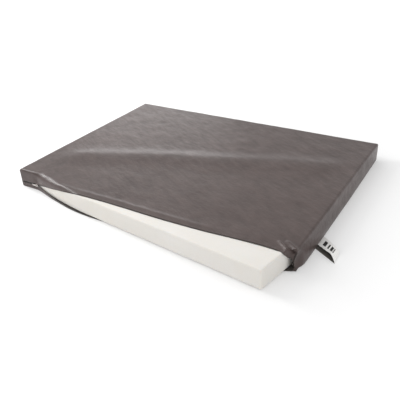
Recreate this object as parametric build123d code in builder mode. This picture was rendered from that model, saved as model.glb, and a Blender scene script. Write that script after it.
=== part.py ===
from build123d import *
import os
from math import cos, radians, sin

# A flat foam pad in a zip-off cover. The long front zip is open except at its left end, and
# the core is drawn part-way out through the mouth at the front right corner.
#
# Millimetres. The origin is the centre of the cover's base, on the surface it lies on.
# +X runs along the zipped front side, from the slider to the label. +Y runs from the zip to
# the back. +Z is up.

# ---- driving dimensions ----
cover_length = 1000.0
cover_width = 700.0
cover_height = 64.0
fabric = 0.8                 # coated cover fabric
tape = 0.6                   # zip tape
tape_width = 12.0
chain_width = 2.4            # closed teeth, both sides together
chain_depth = 1.8
chain_height = 18.5          # centre line of the closed zip above the base
zip_opening = 5.0            # from the zip's centre line to the fabric's edge
zipped_end = 80.0            # length at the left end that is still zipped
core_height = 60.0
core_clearance = 0.4         # between the core's top and the tape that lies on it
flap_depth = 46.0            # front wall above the zip, down to the teeth
seam = 1.6                   # seam allowance, as a square bead inside the cover

# ---- derived levels and edges ----
left = -cover_length / 2
right = cover_length / 2
front = -cover_width / 2
back = cover_width / 2
lid_underside = cover_height - fabric
tape_underside = lid_underside - tape
core_bottom = tape_underside - core_clearance - core_height
wall_height = lid_underside - fabric
bead = chain_width / 2
chain_y = front + fabric + tape / 2
above_zip = chain_height + zip_opening
below_zip = chain_height - zip_opening
end_length = zipped_end - fabric

# ---- outlines at the front, as (distance from the left end, distance out of the cover) ----
# The core's front leaves the zipped end in a soft bend, then runs straight to its corner.
core_front = [(8, -4.5), (82, -4.5), (110, 6), (151, 14), (200, 25), (281, 39), (350, 46), (955, 109)]
core_right = [(961, 103), (976, 0), (995, -150), (996, -586)]
core_back_left = (8, -693)

# The base's front edge and the strip below the zip are dragged out under the core. Near the
# zipped end the strip still turns up in front of it: distance along, root, fold, height.
turned_up = [
    (81, 0, 1.2, 17), (110, 2, 9, 15), (151, 6, 20, 11),
    (209, 15, 33, 8), (263, 27, 43, 5), (350, 30, 48.5, 2.5),
]
base_under_core = [(600, 28), (950, 25)]
strip_flat_edge = [(965, 40), (600, 44), (350, 48.5)]
strip_corner = [(998, 3), (971, 17)]

# The flap's free edge where it lies on the core, and where its two ends start.
flap_edge = [(350, 40), (560, 38), (741, 33), (860, 25), (950, 22)]
hinge_gap = 0.3
wrap_gap = 0.4


def at_front(along, out):
    """The plan position of a point measured along the front edge and out of it."""
    return left + along, front - out


def block(width, depth, height, x, y, z):
    """Add a block to the part being built, with its lowest corner at x, y, z."""
    with Locations((x, y, z)):
        Box(width, depth, height, align=(Align.MIN, Align.MIN, Align.MIN))


def front_plate(outline, z, thickness):
    """Add a flat plate whose outline is given by distances along the front and out of it."""
    corners = [at_front(along, out) for along, out in outline]
    with BuildSketch(Plane.XY.offset(z)) as plate:
        with BuildLine():
            Polyline(*corners, corners[0])
        make_face()
    extrude(plate.sketch, amount=thickness)


def ruled_strip(sections):
    """Add a strip that runs straight between cross-sections, each (along, [(y, z), ...])."""
    faces = []
    for along, corners in sections:
        with BuildSketch(Plane.YZ.offset(left + along)) as section:
            with BuildLine():
                Polyline(*corners, corners[0])
            make_face()
        faces.append(section.sketch)
    loft(faces, ruled=True)


def moved_in(outline, distance):
    """The same outline points moved straight back towards the cover."""
    return [(along, out - distance) for along, out in outline]


def save(piece, label):
    """Label one finished sub-part and write its STEP file."""
    piece.part.label = label
    export_step(piece.part, f"parts/{label}.step")


os.makedirs("parts", exist_ok=True)

# ---- cover: top, base and walls ----
with BuildPart() as top_panel:
    block(cover_length, cover_width, fabric, left, front, lid_underside)
save(top_panel, "top_panel")

base_outline = (
    [(along, root) for along, root, fold, height in turned_up]
    + base_under_core
    + [(cover_length, 0), (cover_length, -cover_width), (0, -cover_width), (0, 0)]
)
with BuildPart() as base_panel:
    front_plate(base_outline, 0, fabric)
save(base_panel, "base_panel")

with BuildPart() as back_border:
    block(cover_length, fabric, wall_height, left, back - fabric, fabric)
save(back_border, "back_border")

with BuildPart() as left_border:
    block(fabric, cover_width - fabric, wall_height, left, front, fabric)
save(left_border, "left_border")

with BuildPart() as right_border:
    block(fabric, cover_width - fabric, wall_height, right - fabric, front, fabric)
save(right_border, "right_border")

with BuildPart() as front_border_zipped_end:
    block(end_length, fabric, lid_underside - above_zip, left + fabric, front, above_zip)
save(front_border_zipped_end, "front_border_zipped_end")

with BuildPart() as front_strip_zipped_end:
    block(end_length, fabric, below_zip - fabric, left + fabric, front, fabric)
save(front_strip_zipped_end, "front_strip_zipped_end")

# The rest of the strip below the zip: turned up beside the core, then flat underneath it.
strip_sections = []
for along, root, fold, height in turned_up:
    root_y, inner_y, outer_y = front - root, front - fold + fabric, front - fold
    corners = [
        (root_y, 0), (outer_y, 0), (outer_y, height),
        (inner_y, height), (inner_y, fabric), (root_y, fabric),
    ]
    strip_sections.append((along, corners))
flat_strip = [turned_up[-1][:2]] + base_under_core + strip_corner + strip_flat_edge
with BuildPart() as front_lower_strip:
    ruled_strip(strip_sections)
    front_plate(flat_strip, 0, fabric)
save(front_lower_strip, "front_lower_strip")

# ---- cover: seams ----
upright_seam = lid_underside - above_zip
with BuildPart() as corner_seams:
    for x in (left + fabric, right - fabric - seam):
        block(seam, seam, wall_height - seam, x, back - fabric - seam, fabric + seam)
    block(seam, seam, upright_seam, left + fabric, front + fabric + tape, above_zip)
    block(seam, seam, upright_seam, right - fabric - seam, front + fabric, above_zip)
save(corner_seams, "corner_seams")

side_seam_start = front + 2 * fabric + 2 * tape
with BuildPart() as base_seam:
    block(cover_length - 2 * fabric, seam, seam, left + fabric, back - fabric - seam, fabric)
    for x in (left + fabric, right - fabric - seam):
        block(seam, back - fabric - seam - side_seam_start, seam, x, side_seam_start, fabric)
save(base_seam, "base_seam")

# ---- zip: the stretch at the left end that is still closed ----
clip_start = 5.0
clip_length = 4.0
clip_wrap = 2.0              # over the tape beyond the teeth, on each side
clip_depth = 3.2
clip_corner = 0.8
slider_mid = 73.0
chain_start = clip_start + clip_length
chain_end = slider_mid + 2.3

with BuildPart() as zip_tapes_zipped_end:
    for z in (chain_height + bead, chain_height - bead - tape_width):
        block(end_length, tape, tape_width, left + fabric, front + fabric, z)
save(zip_tapes_zipped_end, "zip_tapes_zipped_end")

with BuildPart() as zip_teeth_closed:
    block(
        chain_end - chain_start, chain_depth, chain_width,
        left + chain_start, chain_y - chain_depth / 2, chain_height - bead,
    )
save(zip_teeth_closed, "zip_teeth_closed")

# A clip bent round both tapes, with a slot on each side for the tape's edge.
with BuildPart() as zip_bottom_stop:
    with BuildSketch(Plane.YZ.offset(left + clip_start)):
        with Locations((chain_y, chain_height)):
            RectangleRounded(clip_depth, chain_width + 2 * clip_wrap, clip_corner)
        for side in (1, -1):
            with Locations((chain_y, chain_height + side * (bead + clip_wrap))):
                Rectangle(tape, 2 * clip_wrap, mode=Mode.SUBTRACT)
    extrude(amount=clip_length)
save(zip_bottom_stop, "zip_bottom_stop")

stop_side = 2.8
stop_x = left + 985.0
with BuildPart() as zip_top_stops:
    for z in (chain_height + hinge_gap, chain_height - hinge_gap - stop_side):
        block(stop_side, stop_side, stop_side, stop_x, front, z)
save(zip_top_stops, "zip_top_stops")

# ---- zip: the open lower side, on the free edge of the strip ----
teeth_sections = []
for along, root, fold, height in turned_up:
    near_y = front - fold + fabric / 2 + chain_depth / 2
    far_y = near_y - chain_depth
    corners = [(near_y, height), (far_y, height), (far_y, height + bead), (near_y, height + bead)]
    teeth_sections.append((along, corners))
flat_start = turned_up[-1][0] + 2
flat_teeth = [(flat_start, 48.5), (600, 44.05), (965, 40.05)]
with BuildPart() as zip_teeth_lower:
    ruled_strip(teeth_sections)
    front_plate(flat_teeth + moved_in(flat_teeth, -bead)[::-1], 0, chain_depth)
save(zip_teeth_lower, "zip_teeth_lower")

tape_lap = 8.0
tape_edge = [(flat_start, 45.0), (600, 43.8), (964, 39.8)]
with BuildPart() as zip_tape_lower:
    front_plate(tape_edge + moved_in(tape_edge, tape_lap)[::-1], fabric, tape)
save(zip_tape_lower, "zip_tape_lower")

# ---- flap: the front wall above the zip, lying on top of the core ----
flap_start, flap_end = flap_edge[0][0], flap_edge[-1][0]
flap_outline = [(flap_start, hinge_gap)] + moved_in(flap_edge, bead) + [(flap_end, hinge_gap)]
with BuildPart() as front_flap:
    front_plate(flap_outline, lid_underside, fabric)
save(front_flap, "front_flap")

upper_tape_outline = moved_in(flap_edge, bead) + moved_in(flap_edge, bead + tape_width)[::-1]
with BuildPart() as zip_tape_upper:
    front_plate(upper_tape_outline, tape_underside, tape)
save(zip_tape_upper, "zip_tape_upper")

with BuildPart() as zip_teeth_upper:
    front_plate(flap_edge + moved_in(flap_edge, bead)[::-1], tape_underside, chain_depth)
save(zip_teeth_upper, "zip_teeth_upper")

# To the left the flap wraps over the core's front edge and hangs down its face, by less and
# less as the core comes out from under it.
end_gap = 0.6                # between one piece of the flap and the next
wrap_sections = []
wrap_stations = [(zipped_end + end_gap, hinge_gap)]
wrap_stations += [(along, out) for along, out in core_front if zipped_end + 20 < along < 300]
wrap_stations += [(flap_start - end_gap, 46)]
for along, out in wrap_stations:
    root_y = front - hinge_gap
    inner_y = front - out - wrap_gap
    outer_y = inner_y - fabric
    hem = cover_height - max(flap_depth - out, chain_depth)
    corners = [
        (root_y, cover_height), (outer_y, cover_height), (outer_y, hem),
        (inner_y, hem), (inner_y, lid_underside), (root_y, lid_underside),
    ]
    wrap_sections.append((along, corners))
with BuildPart() as flap_left_wrap:
    ruled_strip(wrap_sections)
save(flap_left_wrap, "flap_left_wrap")

# To the right it gathers over the cover's corner and down to the end of the zip.
fold_start = flap_end + end_gap
fold_end = cover_length - 1
fold_on_top = [(fold_start, hinge_gap), (fold_start, 22), (969, 20), (984, 8), (fold_end, hinge_gap)]
fold_hanging = [
    (978, cover_height), (fold_end, cover_height), (fold_end, above_zip), (994, above_zip), (982, 33),
]
with BuildPart() as flap_right_fold:
    front_plate(fold_on_top, lid_underside, fabric)
    with BuildSketch(Plane.XZ.offset(-front + hinge_gap)):
        with BuildLine():
            corners = [(left + along, z) for along, z in fold_hanging]
            Polyline(*corners, corners[0])
        make_face()
    extrude(amount=fabric)
save(flap_right_fold, "flap_right_fold")

# ---- core: one block of foam, bent in plan by being drawn out at one corner ----
core_outline = core_front + core_right + [core_back_left]
with BuildPart() as foam_core:
    front_plate(core_outline, core_bottom, core_height)
save(foam_core, "foam_core")

# ---- slider: two plates round the chain, joined by a bridge, with a bail for the puller ----
slider_length = 11.0
slider_height = 8.4
slider_corner = 2.0
outer_face = front - 2.2
outer_thickness = 1.9
inner_face = front + 2.4
inner_thickness = 1.2
flange_height = 1.2
flange_inset = 2.0
outer_flange = 0.7
inner_flange = 0.6
bridge_length = 2.2
bridge_inset = 0.4
bail_length = 5.2
bail_depth = 3.6
bail_height = 1.2
bail_corner = 1.0
eye_radius = 0.85
pivot_y = front - 3.1

slider_start = left + slider_mid - slider_length / 2
slider_bottom = chain_height - slider_height / 2
slider_top = chain_height + slider_height / 2
chain_space = outer_face + outer_thickness
flange_length = slider_length - 2 * flange_inset
flange_x = slider_start + flange_inset
bridge_x = slider_start + slider_length - bridge_inset - bridge_length
bail_x = left + slider_mid - 2.2

with BuildPart() as zip_slider:
    for y, thickness in ((outer_face, outer_thickness), (inner_face, inner_thickness)):
        with BuildSketch(Plane.XZ.offset(-y)):
            with Locations((left + slider_mid, chain_height)):
                RectangleRounded(slider_length, slider_height, slider_corner)
        extrude(amount=-thickness)
    for z in (slider_bottom, slider_top - flange_height):
        block(flange_length, outer_flange, flange_height, flange_x, chain_space, z)
        block(flange_length, inner_flange, flange_height, flange_x, inner_face - inner_flange, z)
    bridge_depth = inner_face - chain_space
    block(bridge_length, bridge_depth, chain_depth, bridge_x, chain_space, chain_height - chain_depth / 2)
    with BuildSketch(Plane.XY.offset(chain_height - bail_height / 2)):
        with Locations((bail_x, pivot_y - 0.1)):
            RectangleRounded(bail_length, bail_depth, bail_corner)
        with Locations((bail_x, pivot_y)):
            Circle(eye_radius, mode=Mode.SUBTRACT)
    extrude(amount=bail_height)
save(zip_slider, "zip_slider")

# ---- puller: its cross pin turns in the bail's eye, about an upright axis ----
pin_radius = 0.7
arm_inner = 1.0              # from the puller's middle to each arm
arm = 1.5
arm_length = 6.0
puller_length = 17.5
tab_start = 3.8
tab_width = 5.0
tab_thickness = 1.0
tab_corner = 1.6
hole_length = 3.4
hole_width = 1.6
tab_length = puller_length - tab_start

with BuildPart() as zip_puller:
    with BuildSketch(Plane.XY.offset(chain_height - arm_inner - arm)):
        with Locations((bail_x, pivot_y)):
            Circle(pin_radius)
    extrude(amount=2 * (arm_inner + arm))
    for z in (chain_height - arm_inner - arm, chain_height + arm_inner):
        with BuildSketch(Plane.XY.offset(z)):
            with Locations((bail_x - arm_length / 2 + 0.8, pivot_y)):
                SlotOverall(arm_length, arm)
        extrude(amount=arm)
    with BuildSketch(Plane.XZ.offset(-pivot_y + tab_thickness / 2)):
        with Locations((bail_x - tab_start - tab_length / 2, chain_height)):
            RectangleRounded(tab_length, tab_width, tab_corner)
        with Locations((bail_x - puller_length + hole_length, chain_height)):
            SlotOverall(hole_length, hole_width, mode=Mode.SUBTRACT)
    extrude(amount=-tab_thickness)
save(zip_puller, "zip_puller")

# ---- label: one woven ribbon folded into a loop, skewed towards the front ----
ribbon = 0.5
label_width = 45.0
label_reach = 71.0
label_skew = radians(38.0)
label_gap = 1.2
label_near = front + 120.0
loop_radius = 6.2
loop_height = 2 * loop_radius
pinch_length = 14.0          # from the wall to where the two plies part
pinch_height = 2.6
slant = label_reach / cos(label_skew) - loop_radius
label_plane = Plane(
    origin=(right + label_gap, label_near, 0),
    x_dir=(cos(label_skew), -sin(label_skew), 0),
    z_dir=(-sin(label_skew), -cos(label_skew), 0),
)
with BuildPart() as label_ribbon:
    with BuildSketch(label_plane):
        with BuildLine():
            Line((0, 0), (slant, 0))
            RadiusArc((slant, 0), (slant, loop_height), -loop_radius)
            Polyline((slant, loop_height), (0, 2 * ribbon), (0, 0))
        make_face()
        with BuildLine():
            Line((pinch_length, ribbon), (slant, ribbon))
            RadiusArc((slant, ribbon), (slant, loop_height - ribbon), ribbon - loop_radius)
            Polyline((slant, loop_height - ribbon), (pinch_length, pinch_height), (pinch_length, ribbon))
        make_face(mode=Mode.SUBTRACT)
    extrude(amount=label_width, dir=(0, 1, 0))
save(label_ribbon, "label_ribbon")

stitch_count = 7
stitch_pitch = 6.0
stitch_length = 3.6
stitch_height = 0.6
stitch_depth = 0.5
stitch_level = 2.4
with BuildPart() as label_stitches:
    with BuildSketch(Plane.YZ.offset(right)):
        with Locations((label_near + label_width / 2, stitch_level)):
            with GridLocations(stitch_pitch, 1, stitch_count, 1):
                Rectangle(stitch_length, stitch_height)
    extrude(amount=stitch_depth)
save(label_stitches, "label_stitches")
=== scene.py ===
from math import cos, exp, hypot, inf, pi, radians, sin

import bmesh
import bpy
from mathutils import Matrix, Vector, noise


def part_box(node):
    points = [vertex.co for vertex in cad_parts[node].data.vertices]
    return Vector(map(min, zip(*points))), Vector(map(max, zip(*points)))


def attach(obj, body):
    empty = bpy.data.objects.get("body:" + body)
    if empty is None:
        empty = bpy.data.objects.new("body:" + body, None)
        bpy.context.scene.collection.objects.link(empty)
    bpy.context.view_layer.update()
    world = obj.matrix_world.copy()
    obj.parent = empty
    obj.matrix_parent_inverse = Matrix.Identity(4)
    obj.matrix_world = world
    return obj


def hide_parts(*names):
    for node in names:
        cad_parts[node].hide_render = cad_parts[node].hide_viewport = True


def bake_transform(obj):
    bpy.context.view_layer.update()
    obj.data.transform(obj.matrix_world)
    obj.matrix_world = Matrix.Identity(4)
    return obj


# The looks of a foam pad in a zip-off cover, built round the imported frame.
#
# Shapes are worked out in millimetres, as (along, in, up): along the zipped front side from
# the left end, in from the front edge towards the back, and up from the base. place() turns
# that into the frame's metres.

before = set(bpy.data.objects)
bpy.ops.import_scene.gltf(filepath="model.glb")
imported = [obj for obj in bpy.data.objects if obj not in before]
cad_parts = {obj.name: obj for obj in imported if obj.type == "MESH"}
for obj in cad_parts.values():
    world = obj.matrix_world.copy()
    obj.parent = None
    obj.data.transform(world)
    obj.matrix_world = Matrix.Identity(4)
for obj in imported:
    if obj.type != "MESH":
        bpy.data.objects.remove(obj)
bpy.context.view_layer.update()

MM = 0.001
panel_low, panel_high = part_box("top_panel")
length = (panel_high.x - panel_low.x) / MM
width = (panel_high.y - panel_low.y) / MM
height = panel_high.z / MM

fabric = 0.8            # thickness of the coated cover fabric
tape = 0.6              # thickness of the woven zip tape
edge = 7.0              # radius of the cover's top edges
arc_rows = 5            # steps over a rounded edge
zip_level = 18.5        # centre line of the closed zip
zipped_end = 80.0       # length at the left end that is still zipped
gather_start = 945.0    # from here to the right the flap leaves the core and gathers


def place(along, inward, up):
    """A point given in millimetres along, in and up, in the frame's metres."""
    return Vector((panel_low.x + along * MM, panel_low.y + inward * MM, up * MM))


# ---- curves and small sums

def smooth(value, low, high):
    """0 below low, 1 above high, and an even S between them."""
    share = min(1.0, max(0.0, (value - low) / (high - low)))
    return share * share * (3 - 2 * share)


def curve_value(points, at):
    """The value at one place of the smooth curve through (place, value) points."""
    if at <= points[0][0]:
        return points[0][1]
    if at >= points[-1][0]:
        return points[-1][1]
    i = next(k for k in range(len(points) - 1) if at <= points[k + 1][0])
    (p0, v0), (p1, v1) = points[i], points[i + 1]
    before = points[max(i - 1, 0)]
    after = points[min(i + 2, len(points) - 1)]
    span = p1 - p0
    slope0 = (v1 - before[1]) / (p1 - before[0]) * span
    slope1 = (after[1] - v0) / (after[0] - p0) * span
    t = (at - p0) / span
    return (
        (2 * t ** 3 - 3 * t ** 2 + 1) * v0 + (t ** 3 - 2 * t ** 2 + t) * slope0
        + (3 * t ** 2 - 2 * t ** 3) * v1 + (t ** 3 - t ** 2) * slope1
    )


def stations(*stretches):
    """Places along a line, from (start, end, step) stretches that follow each other."""
    places = [stretches[0][0]]
    for start, end, step in stretches:
        count = max(1, round((end - start) / step))
        places += [start + (end - start) * k / count for k in range(1, count + 1)]
    return places


def distance_to_line(p, q, line):
    """How far the point (p, q) is from a polyline, and how far along it the nearest place is, 0 to 1."""
    best, share = inf, 0.0
    for k in range(len(line) - 1):
        (p0, q0), (p1, q1) = line[k], line[k + 1]
        dp, dq = p1 - p0, q1 - q0
        t = ((p - p0) * dp + (q - q0) * dq) / (dp * dp + dq * dq)
        t = min(1.0, max(0.0, t))
        away = hypot(p - p0 - t * dp, q - q0 - t * dq)
        if away < best:
            best, share = away, (k + t) / (len(line) - 1)
    return best, share


def bump(distance, reach):
    """1 at no distance, falling to about a third at reach."""
    return exp(-(distance / reach) ** 2)


# ---- mesh helpers

def new_object(name, data):
    """An object in the scene."""
    made = bpy.data.objects.new(name, data)
    bpy.context.scene.collection.objects.link(made)
    return made


def mesh_piece(name, points, faces, finish, solid=0.0):
    """A smooth-shaded mesh object from millimetre points, thickened inwards by solid."""
    mesh = bpy.data.meshes.new(name)
    mesh.from_pydata([place(*p) for p in points], [], faces)
    mesh.polygons.foreach_set("use_smooth", [True] * len(mesh.polygons))
    harden_rims(mesh)
    piece = new_object(name, mesh)
    for one in finish if isinstance(finish, tuple) else (finish,):
        mesh.materials.append(one)
    if solid:
        thick = piece.modifiers.new("thickness", "SOLIDIFY")
        thick.thickness = solid * MM
        thick.offset = -1.0
        if isinstance(finish, tuple):
            thick.material_offset = 1
            thick.material_offset_rim = 1
    return piece


def harden_rims(mesh):
    """Marks a sheet's free edges sharp, so that its cut rim doesn't shade its face."""
    mesh.update()
    used = {}
    for face in mesh.polygons:
        for pair in face.edge_keys:
            used[pair] = used.get(pair, 0) + 1
    for rim in mesh.edges:
        rim.use_edge_sharp = used.get(rim.key, 0) == 1


def grid(columns, flip=False):
    """Points and quads of a grid given as columns of points."""
    rows = len(columns[0])
    points = [p for column in columns for p in column]
    faces = []
    for i in range(len(columns) - 1):
        for j in range(rows - 1):
            k = i * rows + j
            quad = (k, k + rows, k + rows + 1, k + 1)
            faces.append(quad[::-1] if flip else quad)
    return points, faces


def weld(piece, reach):
    """Joins the points of neighbouring patches that are within reach of each other."""
    work = bmesh.new()
    work.from_mesh(piece.data)
    bmesh.ops.remove_doubles(work, verts=work.verts, dist=reach * MM)
    bmesh.ops.dissolve_degenerate(work, edges=work.edges, dist=0.001 * MM)
    work.to_mesh(piece.data)
    work.free()
    harden_rims(piece.data)
    return piece


# ---- materials

def new_material(name):
    """A new material, its shader and the object's own coordinates."""
    finish = bpy.data.materials.new(name)
    finish.use_nodes = True
    nodes = finish.node_tree.nodes
    return finish, nodes["Principled BSDF"], nodes.new("ShaderNodeTexCoord").outputs["Object"]


def set_inputs(made, **values):
    """Sets a node's inputs to constants, or links them to outputs; _ stands for a space."""
    for key, value in values.items():
        socket = made.inputs[key.replace("_", " ")]
        if isinstance(value, bpy.types.NodeSocket):
            made.id_data.links.new(value, socket)
        else:
            socket.default_value = value


def node(tree, kind, properties=None, **inputs):
    """Adds a node to a tree and sets its properties and inputs."""
    made = tree.nodes.new(kind)
    for key, value in (properties or {}).items():
        setattr(made, key, value)
    set_inputs(made, **inputs)
    return made


def clouds_of(where, scale, detail=3.0, roughness=0.5, stretch=(1, 1, 1)):
    """Cloudy noise, scale in cycles per metre, squeezed along the axes by stretch."""
    tree = where.id_data
    vector = node(tree, "ShaderNodeMapping", Vector=where, Scale=stretch).outputs[0]
    made = node(
        tree, "ShaderNodeTexNoise", Vector=vector, Scale=scale, Detail=detail, Roughness=roughness,
    )
    return made.outputs["Fac"]


def ramp(value, low, high, start=0.3, end=0.7):
    """Colour that runs from low to high as value runs from start to end."""
    made = node(value.id_data, "ShaderNodeValToRGB", Fac=value)
    first, last = made.color_ramp.elements
    first.position, last.position = start, end
    first.color, last.color = (*low, 1), (*high, 1)
    return made.outputs["Color"]


def span(value, low, high, start=0.3, end=0.7):
    """Number that runs from low to high as value runs from start to end."""
    made = node(
        value.id_data, "ShaderNodeMapRange", Value=value,
        From_Min=start, From_Max=end, To_Min=low, To_Max=high,
    )
    return made.outputs["Result"]


def bumps(shader, *layers):
    """Stacks bump layers, each (height output, strength, depth in millimetres)."""
    below = {}
    for height_of, strength, depth in layers:
        made = node(
            shader.id_data, "ShaderNodeBump", Height=height_of,
            Strength=strength, Distance=depth * MM, **below,
        )
        below = {"Normal": made.outputs["Normal"]}
    set_inputs(shader, **below)


def multiply(first, second):
    """Two colours multiplied."""
    mode = {"data_type": "RGBA", "blend_type": "MULTIPLY"}
    return node(first.id_data, "ShaderNodeMix", mode, Factor=1.0, A=first, B=second).outputs["Result"]


def weave(where, pitch):
    """Height of a plain weave with one thread each way every pitch millimetres."""
    tree = where.id_data
    scale = 1 / (pitch * MM) / 20    # a wave texture draws 20 bands per unit of scale
    higher = node(tree, "ShaderNodeMath", {"operation": "MAXIMUM"})
    for k, way in enumerate("XY"):
        properties = {"bands_direction": way}
        wave = node(tree, "ShaderNodeTexWave", properties, Vector=where, Scale=scale, Distortion=0.0)
        tree.links.new(wave.outputs["Fac"], higher.inputs[k])
    return higher.outputs[0]


def cover_finish(name, dark, light):
    """Matt polyurethane-coated fabric, mottled by faint diagonal rubs, with a pebbled grain."""
    finish, shader, where = new_material(name)
    tree = finish.node_tree
    turned = node(tree, "ShaderNodeMapping", Vector=where, Rotation=(0, 0, radians(28))).outputs[0]
    rubs = clouds_of(turned, 30, 5, 0.66, stretch=(0.55, 1.3, 1))
    tone = ramp(clouds_of(where, 7, 4, 0.6), dark, light, 0.28, 0.72)
    veil = ramp(rubs, (0.80, 0.80, 0.80), (1.16, 1.16, 1.16))
    set_inputs(
        shader, Base_Color=multiply(tone, veil), Roughness=span(rubs, 0.42, 0.31),
        Specular_IOR_Level=0.3, Sheen_Weight=0.03, Sheen_Roughness=0.5,
    )
    pebbles = node(tree, "ShaderNodeTexVoronoi", {"feature": "SMOOTH_F1"}, Vector=where, Scale=900)
    creases = clouds_of(where, 130, 4, 0.6)
    bumps(shader, (rubs, 0.8, 2.2), (creases, 0.4, 0.5), (pebbles.outputs["Distance"], 0.35, 0.12))
    return finish


def lining_finish():
    """The knitted backing on the inside of the coated fabric."""
    finish, shader, where = new_material("cover_lining")
    tone = ramp(clouds_of(where, 40), (0.07, 0.062, 0.057), (0.095, 0.085, 0.078))
    set_inputs(shader, Base_Color=tone, Roughness=0.92, Specular_IOR_Level=0.15)
    bumps(shader, (weave(where, 0.9), 0.5, 0.2))
    return finish


def woven_finish(name, dark, light, pitch, roughness=0.8):
    """Woven tape or ribbon, one thread every pitch millimetres."""
    finish, shader, where = new_material(name)
    threads = weave(where, pitch)
    tone = ramp(clouds_of(where, 150), dark, light)
    shadow = ramp(threads, (0.8, 0.8, 0.8), (1, 1, 1), 0.1, 0.7)
    set_inputs(shader, Base_Color=multiply(tone, shadow), Roughness=roughness, Specular_IOR_Level=0.25)
    bumps(shader, (threads, 0.5, 0.12))
    return finish


def thread_finish():
    """Twisted polyester thread."""
    finish, shader, where = new_material("sewing_thread")
    twist = clouds_of(where, 2500, 2)
    tone = ramp(twist, (0.085, 0.073, 0.068), (0.135, 0.118, 0.11))
    set_inputs(shader, Base_Color=tone, Roughness=0.55, Sheen_Weight=0.2)
    bumps(shader, (twist, 0.4, 0.08))
    return finish


def nylon_finish():
    """Moulded nylon zip teeth."""
    finish, shader, where = new_material("nylon_teeth")
    clouds = clouds_of(where, 300)
    tone = ramp(clouds, (0.045, 0.04, 0.037), (0.07, 0.062, 0.058))
    set_inputs(shader, Base_Color=tone, Roughness=span(clouds, 0.35, 0.5))
    bumps(shader, (clouds_of(where, 2000, 2), 0.2, 0.05))
    return finish


def foam_finish():
    """Cut polyurethane foam: off-white open cells with a faint warm cast in places, and painted shade in
    the pores.
    """
    finish, shader, where = new_material("cut_foam")
    cells = node(finish.node_tree, "ShaderNodeTexVoronoi", Vector=where, Scale=700)
    pores = clouds_of(where, 420, roughness=0.7)
    tone = ramp(clouds_of(where, 6, 4, 0.6), (0.675, 0.65, 0.605), (0.705, 0.685, 0.655))
    # Painted shade: the colour is up to 5% darker where the pores' bumps are lowest.
    pore_shade = ramp(pores, (0.95, 0.945, 0.93), (1, 1, 1), end=0.5)
    set_inputs(
        shader, Base_Color=multiply(tone, pore_shade), Roughness=0.95, Specular_IOR_Level=0.1,
        Subsurface_Weight=0.25, Subsurface_Radius=(0.012, 0.010, 0.008), Subsurface_Scale=0.6,
    )
    bumps(shader, (cells.outputs["Distance"], 0.4, 0.35), (pores, 0.35, 0.3))
    return finish


def metal_finish(name, dark, light):
    """Satin plated die-cast metal."""
    finish, shader, where = new_material(name)
    brushed = clouds_of(where, 900, stretch=(0.15, 1, 1))
    tone = ramp(clouds_of(where, 500, 4, 0.6), dark, light)
    set_inputs(shader, Base_Color=tone, Roughness=span(brushed, 0.26, 0.42), Metallic=1.0)
    bumps(shader, (brushed, 0.15, 0.05))
    return finish


def floor_finish():
    """A white studio floor that glows more the further it is from the object."""
    finish, shader, where = new_material("pale_floor")
    tone = ramp(clouds_of(where, 1.5, 2), (0.69, 0.69, 0.69), (0.71, 0.71, 0.71))
    away = node(finish.node_tree, "ShaderNodeVectorMath", {"operation": "LENGTH"}, Vector=where)
    glow = span(away.outputs["Value"], 0.2, 0.6, 0.7, 3.0)
    set_inputs(shader, Base_Color=tone, Roughness=0.9, Specular_IOR_Level=0.1)
    set_inputs(shader, Emission_Color=(1, 1, 1, 1), Emission_Strength=glow)
    return finish


coated = cover_finish("coated_fabric", (0.060, 0.042, 0.0385), (0.081, 0.0585, 0.0542))
lining = lining_finish()
tape_cloth = woven_finish("zip_tape_cloth", (0.06, 0.053, 0.049), (0.085, 0.076, 0.07), 0.5)
bead_cloth = woven_finish("seam_bead_cloth", (0.07, 0.062, 0.058), (0.1, 0.088, 0.082), 0.7)
ribbon_white = woven_finish("label_face", (0.80, 0.79, 0.77), (0.87, 0.86, 0.85), 0.5, 0.6)
ribbon_back = woven_finish("label_back", (0.075, 0.068, 0.062), (0.11, 0.1, 0.092), 0.5)
ribbon_mark = woven_finish("label_marks", (0.02, 0.02, 0.02), (0.035, 0.033, 0.032), 0.5)
thread = thread_finish()
nylon = nylon_finish()
foam = foam_finish()
metal = metal_finish("satin_metal", (0.5, 0.46, 0.44), (0.72, 0.68, 0.66))
dark_metal = metal_finish("blackened_metal", (0.06, 0.055, 0.052), (0.11, 0.10, 0.095))

# ---- camera, light and floor

def set_camera():
    """The camera stands right of the front side and looks down on it by about 30 degrees."""
    target = place(596, 190, 0)
    azimuth, elevation, roll = radians(33.78), radians(30.22), radians(-3.51)
    distance = 1.606
    back = Vector((sin(azimuth) * cos(elevation), -cos(azimuth) * cos(elevation), sin(elevation)))
    lens = bpy.data.cameras.new("camera")
    lens.lens = 46.09
    lens.sensor_width = 36.0
    lens.clip_end = 50
    camera = new_object("camera", lens)
    turn = (-back).to_track_quat("-Z", "Y").to_matrix() @ Matrix.Rotation(roll, 3, "Z")
    camera.matrix_world = Matrix.Translation(target + back * distance) @ turn.to_4x4()
    bpy.context.scene.camera = camera


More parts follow.
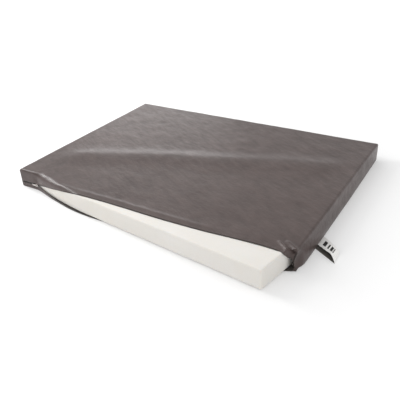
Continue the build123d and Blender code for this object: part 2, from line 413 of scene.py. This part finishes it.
def set_light():
    """A bright studio world and six softboxes, the strongest of them from the left."""
    bpy.context.scene.view_settings.view_transform = "Standard"
    world = bpy.data.worlds.new("studio")
    bpy.context.scene.world = world
    world.use_nodes = True
    set_inputs(world.node_tree.nodes["Background"], Color=(1, 1, 1, 1), Strength=0.86)
    # Where each stands and its size, in metres, and its power in watts.
    for name, location, size, power in (
        ("high_left", (-1.9, -0.3, 1.6), (0.9, 0.9), 22),
        ("low_behind", (-2.1, 2.4, 0.7), (1.5, 0.8), 6.8),
        ("above", (-1.0, 0.35, 2.2), (0.9, 0.9), 5),
        ("front", (-0.2, -2.6, 0.8), (1.2, 1.0), 6),
        ("left", (-2.3, -0.1, 0.9), (0.7, 0.7), 19),
        ("right", (2.3, 0.4, 1.0), (1.0, 1.0), 4),
    ):
        lamp = bpy.data.lights.new("softbox_" + name, "AREA")
        lamp.shape = "RECTANGLE"
        lamp.size, lamp.size_y = size
        lamp.energy = power
        holder = new_object("softbox_" + name, lamp)
        holder.location = location
        holder.rotation_mode = "QUATERNION"
        holder.rotation_quaternion = (-Vector(location)).to_track_quat("-Z", "Y")


def add_floor():
    """A square floor, a hair below the base so that the two don't share a plane."""
    mesh = bpy.data.meshes.new("floor")
    half, under = 12.0, -0.0003
    corners = [(-half, -half, under), (half, -half, under), (half, half, under), (-half, half, under)]
    mesh.from_pydata(corners, [], [(0, 1, 2, 3)])
    floor = new_object("floor", mesh)
    mesh.materials.append(floor_finish())


set_camera()
set_light()
add_floor()

# ---- how the cloth lies

# The face that the flap hangs down or lies over, as (along, out from the cover's front).
face_line = [
    (60, 0), (80, 0), (95, 3), (110, 7.5), (151, 16), (200, 27), (281, 41), (350, 48), (400, 53),
    (955, 111),
]
# The flap's free edge, as (along, distance over the cloth from the cover's front).
free_line = [
    (80, 37), (110, 34), (140, 35), (200, 37), (240, 38.2), (282, 39), (340, 37.3), (435, 34.8),
    (600, 35.4), (711, 32.5), (771, 29), (860, 21.9), (910, 19.4), (945, 19.5), (962, 21), (976, 33),
    (992, 40), (1000, 58),
]
flap_lean = 0.04         # how far the hanging flap leans out for each millimetre down
hinge_straight = 130.0   # from here to the right the flap starts at the cover's front line

# Where the core's front edge is pressed round under the flap: where along that starts, is
# full, fades and is gone, and what it adds to the radius of the cloth's turn.
pressed_stretch = (66, 108, 150, 340)
pressed_roll = 14.0

# Where the flap gathers: by place along, its cross-section as a curve's four (out, up) handles.
gather = {
    945: ((0, 64), (6.5, 64), (13, 64), (19.5, 64)),
    962: ((0, 64), (7, 65), (14, 65), (21, 63.4)),
    971: ((0, 64), (8, 66), (17, 65.5), (24, 63.2)),
    973: ((0, 64), (8, 66.5), (19, 66), (25, 61.5)),
    974.6: ((0, 64), (9, 66.5), (20, 66), (23.5, 57)),
    976.6: ((0, 64), (8, 66), (15, 60), (10.5, 43.5)),
    980: ((0, 64), (7, 65), (8, 50), (5, 37.5)),
    986: ((0, 64), (3, 62), (3.5, 48), (4, 38.5)),
    992.5: ((0, 64), (0, 60), (0, 48), (3.5, 37)),
    996.5: ((0, 62), (1, 57), (0, 46), (2.5, 33)),
    998: ((0, 60), (-6, 51), (-9, 36), (-2, 2.5)),
    1000: ((0, 57), (0, 50), (0, 34), (0, 2.5)),
}

# The long ridge over the top, as (along, in), its height and how far it spreads.
long_ridge = [(40, 142), (70, 155), (197, 211), (330, 268), (531, 340), (783, 428), (966, 478)]
ridge_height, ridge_reach_behind, ridge_reach_before = 7.0, 42, 70

# The flap swells up before it falls to its edge: how high, how far from the edge, how wide.
crest_height, crest_from_edge, crest_reach = 1.8, 17, 9

# Folds where the flap gathers: a line of (along, run), the height, the reach to either side,
# and the share of the line over which it rises. Run is the distance over the cloth from
# where the top starts to turn down at the front.
corner_folds = [
    ([(937, -10), (961, 6), (975.5, 20), (980.5, 34)], 4.4, 4.4, 0.2),
    ([(954, -20), (977, -7), (998, 6)], 3.8, 5.4, 0.3),
]
hollow_line = [(960, -5), (975, 4), (986, 14), (991, 26)]
hollow_reach = 4.2
folds_start = length - 80.0

# Unevenness: height, size along, size over the cloth, and a place in the noise.
uneven_layers = [(0.9, 160, 120, 3.1), (0.45, 45, 38, 8.7), (0.15, 15, 13, 1.9)]


def relief(along, run):
    """How far the cloth stands proud of its plain shape, over the top and the flap."""
    behind = edge - run - curve_value(long_ridge, along)
    reach = ridge_reach_behind if behind > 0 else ridge_reach_before
    fade = smooth(along, 20, 140) * (1 - smooth(along, 880, 990))
    rise = fade * ridge_height * bump(behind, reach)
    from_crest = edge_run(along) - run - crest_from_edge
    fade = smooth(along, 90, 240) * (1 - smooth(along, 620, 860))
    rise += crest_height * fade * bump(from_crest, crest_reach)
    if along > folds_start:
        for line, tall, reach, rising in corner_folds:
            away, share = distance_to_line(along, run, line)
            rise += tall * bump(away, reach) * smooth(share, 0.0, rising)
        away, share = distance_to_line(along, run, hollow_line)
        deep = 1.3 + 6.5 * smooth(share, 0.35, 0.6)
        rise -= deep * bump(away, hollow_reach) * smooth(share, 0.0, 0.25)
    for tall, size_along, size_over, layer in uneven_layers:
        rise += tall * noise.noise(Vector((along / size_along, run / size_over, layer)))
    return rise


def right_edge_height(along):
    """Height of the top, which turns down over the edge at the right end."""
    over = min(edge, max(0.0, along - (length - edge)))
    return height - edge + (edge * edge - over * over) ** 0.5


def end_fade(along):
    """1 on the top, falling to 0 down the rounded edge at the right end."""
    return (right_edge_height(along) - height + edge) / edge


def hinge_run(along):
    """Run of the line where the shell ends and the flap begins."""
    return edge * (pi / 2 + (1 - pi / 2) * smooth(along, zipped_end, hinge_straight))


def edge_run(along):
    """Run of the flap's free edge."""
    return edge + curve_value(free_line, along)


def softened(along):
    """1 where the core's front edge is pressed round, 0 well to either side."""
    start, full, fading, gone = pressed_stretch
    return smooth(along, start, full) * (1 - smooth(along, fading, gone))


def front_section(along, run):
    """(out, up) and the normal's (out, up) at the front, left of where the flap gathers."""
    face = curve_value(face_line, along)
    roll = edge + pressed_roll * softened(along)
    turn_start = face - roll + edge
    if run < turn_start:
        return run - edge, height, 0.0, 1.0
    angle = (run - turn_start) / roll
    if angle < pi / 2:
        out, up = face - roll + roll * sin(angle), height - roll + roll * cos(angle)
        return out, up, sin(angle), cos(angle)
    down = run - turn_start - roll * pi / 2
    return face + flap_lean * down, height - roll - down, 1.0, 0.0


def gathered_section(along, share):
    """(out, up) of the flap where it gathers, share from the hinge line to its edge."""
    stops = sorted(gather)
    after = next((k for k, stop in enumerate(stops) if stop >= along), len(stops) - 1)
    after = max(after, 1)
    low, high = stops[after - 1], stops[after]
    mix = (along - low) / (high - low)
    handles = [
        [p + (q - p) * mix for p, q in zip(first, second)]
        for first, second in zip(gather[low], gather[high])
    ]
    handles[0][1] = right_edge_height(along)
    rest = 1 - share
    weights = (rest ** 3, 3 * rest ** 2 * share, 3 * rest * share ** 2, share ** 3)
    return tuple(sum(w * h[i] for w, h in zip(weights, handles)) for i in (0, 1))


def flap_section(along, share):
    """(out, up) on the flap's plain shape, share from the hinge line to the free edge."""
    if along >= gather_start:
        return gathered_section(along, share)
    start = hinge_run(along)
    return front_section(along, start + share * (edge_run(along) - start))[:2]


def flap_point(along, share, depth=0.0):
    """A point on the flap, share from the hinge line to the free edge, depth below its face."""
    step = 0.01
    out0, up0 = flap_section(along, share - step)
    out1, up1 = flap_section(along, share + step)
    out, up = flap_section(along, share)
    size = hypot(out1 - out0, up1 - up0)
    # At the hinge line the cloth swells straight up, as the top does beside it.
    turned = smooth(share, 0.0, 0.15)
    normal_out = turned * (up0 - up1) / size
    normal_up = 1 - turned + turned * (out1 - out0) / size
    run = hinge_run(along) + share * (edge_run(along) - hinge_run(along))
    rise = relief(along, run) * end_fade(along) - depth
    return settle(along, -(out + rise * normal_out), up + rise * normal_up)


# How far the right wall's foot spreads, by distance in, and how far its front edge is pulled
# back, by height.
right_flare = [(0, -1), (20, 2.5), (36, 5), (108, 5.5), (250, 4.5), (400, 4), (700, 0)]
corner_pull = [(0, 3.5), (14, 7.5), (27, 8.5), (45, 5.0), (57, 1.2), (64, 0)]


def settle(along, inward, up):
    """Bends a point as the right wall does: its foot spreads and its front edge is pulled back."""
    near_right = smooth(along, length - 30, length - 2)
    spread = curve_value(right_flare, inward) * (1 - smooth(up, 6, 50)) * near_right
    pulled = curve_value(corner_pull, up) * near_right * (1 - smooth(abs(inward), 2, 34))
    return along + spread - pulled, inward, up


# ---- cover: top and walls

mitre_reach = 40.0       # how far from a corner the columns start to lean towards it
along_stops = stations(
    (edge, 17, 2.5), (17, 80, 6), (80, 140, 5), (140, 900, 8), (900, 950, 2.5), (950, 993, 1.1),
)
inward_stops = stations((edge, 60, 2.6), (60, 660, 9), (660, width - edge, 4))
wall_levels = [51, 44, 36, 28, 20, 12, 6, 2.6]
wall_foot = [(edge - 1.2, 0.6), (edge - 4.5, 0.45)]    # (out, up), turned in at the base seam
lip_levels = [51, 44, 37, 31, 26, 22.5]    # down the front wall to the closed zip
lip_fold = 21.2          # height where that wall turns in behind the teeth


def mitre(stop, total):
    """How a column near a corner leans outwards as it goes over the edge, -1 to 1."""
    start = max(0.0, 1 - (stop - edge) / mitre_reach)
    end = max(0.0, 1 - (total - edge - stop) / mitre_reach)
    return end - start


arc_angles = [pi / 2 * k / arc_rows for k in range(arc_rows + 1)]
edge_arc = [(edge * sin(angle), height - edge + edge * cos(angle)) for angle in arc_angles]


def wall_swell(stop, total, up):
    """How far a wall stands out between its corners."""
    nearest = min(stop, total - stop) - edge
    middle = smooth(nearest, 0, 70)
    waves = noise.noise(Vector((stop / 90, up / 60, total)))
    small = noise.noise(Vector((stop / 28, up / 40, total + 5)))
    tall = sin(pi * min(1.0, max(0.0, up / (height - edge)))) ** 0.8
    return tall * (0.4 * smooth(nearest, 0, 12) + middle * (1.3 + 1.2 * waves + 0.5 * small))


def wall_strip(side):
    """Columns of points over one edge and down one wall, to the base seam."""
    stops, total = (along_stops, length) if side == "back" else (inward_stops, width)
    columns = []
    for stop in stops:
        lean = mitre(stop, total)
        column = []
        for out, up in edge_arc + [(edge, level) for level in wall_levels] + wall_foot:
            proud = out + (wall_swell(stop, total, up) if out >= edge else 0.0)
            if side == "back":
                along, inward = stop + lean * out, width - edge + proud
            elif side == "left":
                along, inward = edge - proud, stop + lean * out
            else:
                along, inward = length - edge + proud, stop + lean * out
            top_share = min(1.0, max(0.0, (up - height + edge) / edge))
            column.append(settle(along, inward, up + top_share * relief(along, edge - inward)))
        columns.append(column)
    return columns


def front_point(along, run):
    """A point on the cloth over the top and round the front edge."""
    out, up, normal_out, normal_up = front_section(along, run)
    up += right_edge_height(along) - height
    rise = relief(along, run) * end_fade(along)
    out += rise * normal_out * smooth(along, 3, 14)
    return along, -out, up + rise * normal_up


def front_strips():
    """The cloth over the front edge to the hinge line, and down the wall where the zip is closed."""
    over_edge, wall = [], []
    for stop in along_stops:
        lean = mitre(stop, length)
        column = []
        for k in range(arc_rows + 1):
            bend = sin(pi / 2 * k / arc_rows)
            along = stop + lean * edge * bend
            run = hinge_run(along) * (bend if stop > length / 2 else k / arc_rows)
            column.append(settle(*front_point(along, run)))
        over_edge.append(column)
        if stop <= zipped_end:
            proud = -column[-1][1]
            opened = smooth(stop, 60, 78)
            column = [column[-1]]
            for up in lip_levels:
                level = (up - lip_levels[-1]) / (height - edge - lip_levels[-1])
                out = proud * level + 0.6 * wall_swell(stop, length, up) * (1 - opened)
                column.append((stop + lean * edge, -out, up))
            column.append((stop + lean * edge, 0.5, lip_fold + 1.2 * opened))
            wall.append(column)
    return over_edge, wall


def joined(patches):
    """Points and faces of several grids, each given as (columns, flip)."""
    points, faces = [], []
    for columns, flip in patches:
        more_points, more_faces = grid(columns, flip)
        faces += [tuple(k + len(points) for k in face) for face in more_faces]
        points += more_points
    return points, faces


def build_cover_shell():
    """The top, the three walls, and the zipped end of the front, as one skin."""
    top = [[front_point(along, edge - inward) for inward in inward_stops] for along in along_stops]
    over_edge, front_wall = front_strips()
    points, faces = joined([
        (top, False), (over_edge, True), (front_wall, True),
        (wall_strip("back"), False), (wall_strip("left"), False), (wall_strip("right"), True),
    ])
    shell = weld(mesh_piece("cover_shell", points, faces, (coated, lining), fabric), 0.4)
    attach(shell, "cover")
    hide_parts("top_panel", "back_border", "left_border", "right_border", "front_border_zipped_end")


# ---- flap, and the zip along it

hinge_stops = [stop + mitre(stop, length) * edge for stop in along_stops if stop >= zipped_end]
flap_middle = 650.0


def half_stops(side):
    """The flap's stations on one side of where its two halves meet."""
    if side == "left":
        return [stop for stop in hinge_stops if stop < flap_middle] + [flap_middle]
    return [flap_middle] + [stop for stop in hinge_stops if stop > flap_middle]


def bend_with_flap(piece):
    """Bakes the piece's transform into its mesh."""
    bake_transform(piece)


def build_flap(side):
    """One half of the front wall above the zip, which lies over the drawn-out core."""
    rows = 18
    columns = [[flap_point(a, k / rows) for k in range(rows + 1)] for a in half_stops(side)]
    flap = mesh_piece("flap_" + side, *grid(columns, True), (coated, lining), fabric)
    bend_with_flap(flap)
    if side == "left":
        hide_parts("front_flap", "flap_left_wrap")
    else:
        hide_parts("flap_right_fold")


def build_upper_tape(side):
    """The zip tape sewn under the flap's edge, showing a narrow line beyond it."""
    columns = []
    past_edge = (-11, -7, -3, 0, 1.4)
    for along in half_stops(side):
        reach = edge_run(along) - hinge_run(along)
        columns.append([flap_point(along, 1 + past / reach, fabric + 0.35) for past in past_edge])
    piece = mesh_piece("upper_tape_" + side, *grid(columns, True), tape_cloth, tape)
    bend_with_flap(piece)
    if side == "left":
        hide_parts("zip_tape_upper")


# How long, wide and tall one tooth or stitch is, and how far apart they are.
open_tooth = (2.0, 1.1, 1.3)
closed_tooth = (2.2, 0.95, 1.7)
tape_stitch = (0.4, 2.3, 0.35)
label_stitch = (0.6, 3.6, 0.5)
tooth_pitch = 1.6
stitch_pitch = 3.2
bead_sides = 6


def ring_faces(start, rings, sides):
    """Quads between rings of points that follow each other from start, and a cap at each end."""
    faces = []
    for ring in range(rings - 1):
        for k in range(sides):
            here = start + ring * sides + k
            following = start + ring * sides + (k + 1) % sides
            faces.append((here, following, following + sides, here + sides))
    last = start + (rings - 1) * sides
    faces.append(tuple(range(start, start + sides))[::-1])
    faces.append(tuple(range(last, last + sides)))
    return faces


def bead(centre, across, along, size):
    """The points of a six-sided bead with tapered ends, from its centre and two directions."""
    up = across.cross(along)
    half_long, half_wide, half_tall = (s / 2 for s in size)
    points = []
    for end, taper in ((-1, 0.55), (-0.75, 1.0), (0.75, 1.0), (1, 0.55)):
        for k in range(bead_sides):
            turn = 2 * pi * k / bead_sides
            points.append(tuple(
                centre + across * end * half_long
                + along * (cos(turn) * half_wide * taper) + up * (sin(turn) * half_tall * taper)
            ))
    return points


def beads_along(name, centre_of, start, end, pitch, size, finish):
    """Beads every pitch from start to end; centre_of gives a bead's centre and its way across."""
    points, faces = [], []
    for k in range(int((end - start) / pitch)):
        at = start + (k + 0.5) * pitch
        centre, across = centre_of(at)
        ahead = (centre_of(at + 0.5)[0] - centre_of(at - 0.5)[0]).normalized()
        across = (across - ahead * across.dot(ahead)).normalized()
        faces += ring_faces(len(points), 4, bead_sides)
        points += bead(centre, across, ahead, size)
    return mesh_piece(name, points, faces, finish)


def flap_edge_frame(past, depth):
    """A function giving the place and direction across the flap's edge, past it by so much."""
    def centre_of(along):
        reach = edge_run(along) - hinge_run(along)
        here = Vector(flap_point(along, 1 + past / reach, depth))
        back = Vector(flap_point(along, 1 + (past - 1.5) / reach, depth))
        return here, (here - back).normalized()
    return centre_of


def build_upper_teeth(side):
    """The open teeth along the flap's edge."""
    start, end = (zipped_end, flap_middle) if side == "left" else (flap_middle, 995.0)
    piece = beads_along(
        "upper_teeth_" + side, flap_edge_frame(1.6, fabric + 0.7), start, end,
        tooth_pitch, open_tooth, nylon,
    )
    bend_with_flap(piece)
    if side == "left":
        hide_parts("zip_teeth_upper")


def build_flap_stitches(side):
    """The row of stitches that holds the tape under the flap's edge."""
    frame_at = flap_edge_frame(-4.0, -0.05)

    def turned(along):
        here, across = frame_at(along)
        ahead = (frame_at(along + 0.5)[0] - here).normalized()
        return here, across + across.cross(ahead) * 0.2

    start, end = (zipped_end, flap_middle) if side == "left" else (flap_middle, 990.0)
    piece = beads_along("flap_stitches_" + side, turned, start, end, stitch_pitch, tape_stitch, thread)
    bend_with_flap(piece)


# ---- base, and the strip below the zip

# How the strip below the zip lies: (along, out where it leaves the base, out where it folds
# up, how high it stands).
strip_line = [
    (0, 0, 0, 15.6), (60, 0, 0, 15.6), (81, 0, 1.5, 16.0), (110, 2, 9, 13), (151, 6, 20, 9),
    (209, 15, 33, 5.4), (263, 27, 43, 2.6), (350, 30, 49.5, 1.6), (600, 28, 44, 1.2),
    (900, 25, 41, 1.0), (945, 23, 39, 1.0), (958, 19, 31, 1.0), (966, 15, 21, 1.0),
    (972, 11, 14, 1.2), (984, 6, 8, 1.2), (991, 3.5, 4.5, 2.5), (994.5, 2, 2.6, 12), (998, 1, 2, 15),
]
strip_overlap = 2.5      # how far the strip's root reaches in over the base
strip_lie = 0.45         # height of the strip where it lies flat


def strip_values(along):
    """(root, fold, height) of the strip below the zip at one place along it."""
    return [curve_value([(row[0], row[k]) for row in strip_line], along) for k in (1, 2, 3)]


def strip_share(along, below):
    """The share of the strip's way from its root at a distance below its free edge."""
    root, fold, tall = strip_values(along)
    if below < tall:
        return 1 - below / (2 * tall)
    return max(0.0, 0.5 - (below - tall) / (2 * (fold - root + strip_overlap)))


def strip_point(along, share, raised=0.0):
    """A point on the strip, share from its root to its free edge, raised off its inner face."""
    root, fold, tall = strip_values(along)
    start = root - strip_overlap
    if share < 0.5:
        out = start + (fold - start) * share / 0.5
        up = strip_lie
    else:
        t = share / 0.5 - 1
        out = fold + 0.6 * t
        up = strip_lie + (tall - strip_lie) * t
    turned = smooth(share, 0.5, 0.6)
    out -= raised * turned
    up += raised * (1 - turned)
    wave = 0.5 * noise.noise(Vector((along / 30, share * 2, 4.4)))
    return along, -(out + wave * smooth(share, 0.5, 1.0)), up


def build_lower_strip():
    """The front wall below the zip."""
    shares = [0, 0.2, 0.4, 0.47, 0.5, 0.53, 0.6, 0.7, 0.8, 0.9, 1.0]
    stops = stations((0.6, 120, 4), (120, 960, 7), (960, 998, 1.5))
    columns = [[strip_point(along, share) for share in shares] for along in stops]
    strip = mesh_piece("lower_strip", *grid(columns), (coated, lining), fabric)
    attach(strip, "cover")
    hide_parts("front_lower_strip", "front_strip_zipped_end")


def build_base():
    """The base panel, dragged out in front to where the strip below the zip starts."""
    inset, level, rows = 2.5, 1.0, 40
    columns = []
    for along in stations((inset, 122, 8), (122, length - inset, 10)):
        root = strip_values(min(along, 997))[0] if along > zipped_end else 0.0
        front = 1.0 - root
        column = []
        for k in range(rows + 1):
            inward = front + (width - inset - front) * k / rows
            lift = 0.12 * noise.noise(Vector((along / 60, inward / 60, 7.7)))
            column.append((along, inward, level + lift))
        columns.append(column)
    base = mesh_piece("base_sheet", *grid(columns), (lining, coated), fabric)
    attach(base, "cover")
    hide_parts("base_panel")


def build_zipped_tapes():
    """Both tapes behind the closed stretch of zip, and the lower one on along the strip's edge."""
    columns = []
    for along in stations((1.0, 79, 6)):
        columns.append([(along, 1.0 + 0.2 * sin(along / 9), up) for up in (30.5, 26, 22, 19.8)])
    upper = mesh_piece("zipped_tape_upper", *grid(columns, True), tape_cloth, tape)
    columns = []
    for along in stations((1.0, 120, 4), (120, 996, 7)):
        shares = [strip_share(along, below) for below in (8.0, 5.0, 2.0, -0.8)]
        columns.append([strip_point(along, share, 1.3) for share in shares])
    lower = mesh_piece("zipped_tape_lower", *grid(columns, True), tape_cloth, tape)
    for piece, node_name in ((upper, "zip_tapes_zipped_end"), (lower, "zip_tape_lower")):
        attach(piece, "cover")
        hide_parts(node_name)


# ---- foam core

# The core's plan as it is drawn out: its front and its right side from the front corner
# back, as (along, out), and its left back corner, as (along, in).
core_front = [
    (8, -4.5), (60, -4.5), (82, -3.5), (110, 5), (151, 14), (200, 25), (281, 39), (350, 47),
    (955, 109),
]
core_right = [(955, 109), (976, 0), (995, -150), (996, -586)]
core_left_back = (8, 693)

pressed_depth = 26.0     # how far back its pressed top edge reaches
pressed_sink = 9.5
pressed_in = 4.0


def along_polyline(line, share):
    """The point at a share of a polyline's length."""
    sizes = [hypot(q[0] - p[0], q[1] - p[1]) for p, q in zip(line, line[1:])]
    left_over = share * sum(sizes)
    for (p, q), size in zip(zip(line, line[1:]), sizes):
        if left_over <= size:
            return p[0] + (q[0] - p[0]) * left_over / size, p[1] + (q[1] - p[1]) * left_over / size
        left_over -= size
    return line[-1]


def front_side(share):
    """The point (along, in) at a share of the core's front."""
    along = core_front[0][0] + share * (core_front[-1][0] - core_front[0][0])
    return along, -curve_value(core_front, along)


right_line = [(along, -out) for along, out in core_right]
back_line = [core_left_back, right_line[-1]]
left_line = [front_side(0), back_line[0]]


def core_plan(u, v):
    """A point of the core's plan, u along the front and v towards the back."""
    front, right = front_side(u), along_polyline(right_line, v)
    back, left = along_polyline(back_line, u), along_polyline(left_line, v)
    return tuple(
        (1 - v) * front[i] + v * back[i] + (1 - u) * left[i] + u * right[i]
        - (1 - u) * ((1 - v) * left_line[0][i] + v * left_line[1][i])
        - u * ((1 - v) * right_line[0][i] + v * right_line[-1][i])
        for i in (0, 1)
    )


def crisp_shares(close, inset, count):
    """Shares from 0 to 1, with one close to each end, where it keeps the rounded mesh crisp."""
    middle = [inset + (1 - 2 * inset) * k / count for k in range(count + 1)]
    return [0, close] + middle + [1 - close, 1]


def build_foam():
    """The cut block, its faces slightly wavy."""
    low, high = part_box("foam_core")
    bottom, top = low.z / MM, high.z / MM - 0.4
    us = crisp_shares(0.008, 0.03, 44)
    vs = crisp_shares(0.011, 0.04, 26)
    levels = [bottom, bottom + 7, bottom + 20, bottom + 40, top - 7, top]

    def uneven(along, inward, up):
        ripple = 0.7 * noise.noise(Vector((along / 70, inward / 70, up / 30)))
        behind = max(0.0, inward + curve_value(core_front, along))
        pressed = softened(along) * max(0.0, 1 - behind / pressed_depth) ** 2
        if up > top - 1:
            up -= pressed_sink * pressed
        elif up > top - 8:
            inward += pressed_in * pressed
        lift = 0.5 * ripple if up > bottom + 1 else 0.0
        return along + 0.6 * ripple, inward + ripple, up + lift

    def layer(level):
        return [[uneven(*core_plan(u, v), level) for v in vs] for u in us]

    def wall(stops, pick):
        return [[uneven(*core_plan(*pick(stop)), level) for level in levels] for stop in stops]

    points, faces = joined([
        (layer(top), False), (layer(bottom), True),
        (wall(us, lambda s: (s, 0)), False), (wall(us, lambda s: (s, 1)), True),
        (wall(vs, lambda s: (0, s)), True), (wall(vs, lambda s: (1, s)), False),
    ])
    core = weld(mesh_piece("foam_core_cut", points, faces, foam), 0.02)
    rounding = core.modifiers.new("rounding", "SUBSURF")
    rounding.levels = 2
    rounding.render_levels = 2
    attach(core, "core")
    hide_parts("foam_core")


# ---- label

# The ribbon's near and far edges, from the upper ply's root over the bend, down to the fold
# on the ground and back along the lower ply to its root.
label_near = [
    (1001.5, 130, 3.2), (1027, 110, 8.5), (1049, 93.5, 13.0), (1055, 88.5, 13.2), (1062, 82, 9.5),
    (1069.5, 74.5, 2.6), (1070.5, 73.5, 0.8), (1067, 75, 0.45), (1040, 91, 0.45), (1003.5, 112, 0.7),
]
label_far = [
    (1001.5, 175, 3.0), (1029, 152, 7.6), (1051, 130, 11.8), (1057, 125, 12.2), (1061.5, 122, 10.0),
    (1066.5, 118.5, 4.5), (1067, 118, 3.0), (1063, 119.5, 1.2), (1040, 133, 0.5), (1003.5, 157, 0.7),
]
label_rows = 54
label_columns = 14
label_bars = [(0.07, 0.115), (0.145, 0.165), (0.19, 0.245), (0.275, 0.295), (0.325, 0.365)]


def along_smooth_line(line, share):
    """The point at a share of the way through a smooth line's knots."""
    at = share * (len(line) - 1)
    return [curve_value([(k, knot[i]) for k, knot in enumerate(line)], at) for i in (0, 1, 2)]


def label_point(share, across, raised=0.0):
    """A point of the label, share from the upper root round to the lower, across from 0 to 1."""
    near, far = along_smooth_line(label_near, share), along_smooth_line(label_far, share)
    along, inward, up = (n + (f - n) * across for n, f in zip(near, far))
    crown = 0.9 * sin(pi * across) * sin(pi * min(1.0, share / 0.6))
    return along, inward, up + crown + raised


def build_label():
    """The folded ribbon, and the plain bars across its upper ply, each from share to share."""
    columns = []
    for c in range(label_columns + 1):
        across = c / label_columns
        columns.append([label_point(k / label_rows, across) for k in range(label_rows + 1)])
    label = mesh_piece("label_loop", *grid(columns, True), (ribbon_white, ribbon_back), 0.5)
    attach(label, "label")
    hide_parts("label_ribbon")
    bars = []
    for start, end in label_bars:
        shares = [start + (end - start) * k / 4 for k in range(5)]
        columns = [[label_point(share, c / 12, 0.06) for share in shares] for c in range(3, 10)]
        bars.append((columns, True))
    points, faces = joined(bars)
    marks = mesh_piece("label_bars", points, faces, ribbon_mark, 0.1)
    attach(marks, "label")


# ---- teeth, seams and stitches of the cover

def build_closed_teeth():
    """The two rows of teeth where the zip is closed, half a tooth apart."""
    for name, sign in (("closed_teeth_upper", 1), ("closed_teeth_lower", -1)):
        def centre_of(along):
            return Vector((along, 0.9, zip_level + sign * 0.55)), Vector((0, 0.2, sign))
        shift = tooth_pitch / 2 if sign > 0 else 0.0
        start, end = 9.5 + shift, 75.0 + shift
        piece = beads_along(name, centre_of, start, end, tooth_pitch, closed_tooth, nylon)
        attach(piece, "cover")
        if sign > 0:
            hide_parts("zip_teeth_closed")


def build_lower_teeth():
    """The open teeth along the edge of the strip below the zip."""
    def centre_of(along):
        here = Vector(strip_point(along, 1.0, 0.6))
        back = Vector(strip_point(along, 0.9, 0.6))
        across = (here - back).normalized()
        return here + across * 0.8, across
    piece = beads_along("lower_teeth", centre_of, 81.0, 992.0, tooth_pitch, open_tooth, nylon)
    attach(piece, "cover")
    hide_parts("zip_teeth_lower")


def tube_along(name, lines, radius, finish):
    """Round cords along lines of (along, in, up) points, with closed ends."""
    points, faces = [], []
    sides = 8
    for line in lines:
        start = len(points)
        knots = [Vector(knot) for knot in line]
        for k, knot in enumerate(knots):
            ahead = (knots[min(k + 1, len(knots) - 1)] - knots[max(k - 1, 0)]).normalized()
            across = ahead.orthogonal() if k == 0 else across - ahead * across.dot(ahead)
            across.normalize()
            other = ahead.cross(across)
            for turn in range(sides):
                angle = 2 * pi * turn / sides
                points.append(tuple(knot + (across * cos(angle) + other * sin(angle)) * radius))
        faces += ring_faces(start, len(knots), sides)
    return mesh_piece(name, points, faces, finish)


seam_inset = 2.4
seam_radius = 0.8
seam_level = 2.6         # height of the seam round the base
seam_step = 8.0


def build_seams():
    """The rolled seam allowances inside the cover, up its corners and round its base."""
    near, far = seam_inset, length - seam_inset
    deep = width - seam_inset
    levels = [3.2 + 6.0 * k for k in range(9)]
    corners = [[settle(along, deep, up) for up in levels] for along in (near, far)]
    corners.append([settle(near, seam_inset, up) for up in levels if up > 26])
    corners.append([settle(far, seam_inset, up) for up in levels])
    base_start = 4.0
    side_count = int((deep - base_start) / seam_step) + 1
    back_count = int((far - near) / seam_step) + 1
    round_base = [settle(near, base_start + seam_step * k, seam_level) for k in range(side_count)]
    round_base += [(near + seam_step * k, deep, seam_level) for k in range(1, back_count)]
    round_base += [settle(far, deep - seam_step * k, seam_level) for k in range(side_count)]
    for name, lines, node_name in (
        ("corner_seam_beads", corners, "corner_seams"),
        ("base_seam_bead", [round_base], "base_seam"),
    ):
        piece = tube_along(name, lines, seam_radius, bead_cloth)
        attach(piece, "cover")
        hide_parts(node_name)


def build_label_stitches():
    """The stitches through the right wall that hold the label."""
    level = 2.4

    def on_wall(inward):
        here = settle(length + wall_swell(inward, width, level) + 0.2, inward, level)
        return Vector(here), Vector((0.0, 0.0, 1.0))
    piece = beads_along("label_tack", on_wall, 121.5, 163.5, 6.0, label_stitch, thread)
    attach(piece, "cover")
    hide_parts("label_stitches")


def finish_cad_nodes():
    """The die-cast zip parts keep their CAD shape and get a real finish."""
    for name, finish in (
        ("zip_bottom_stop", dark_metal), ("zip_top_stops", dark_metal),
        ("zip_slider", metal), ("zip_puller", metal),
    ):
        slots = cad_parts[name].data.materials
        slots.clear()
        slots.append(finish)


finish_cad_nodes()
build_cover_shell()
for side in ("left", "right"):
    build_flap(side)
    build_upper_tape(side)
    build_upper_teeth(side)
    build_flap_stitches(side)
build_base()
build_lower_strip()
build_zipped_tapes()
build_closed_teeth()
build_lower_teeth()
build_foam()
build_seams()
build_label()
build_label_stitches()
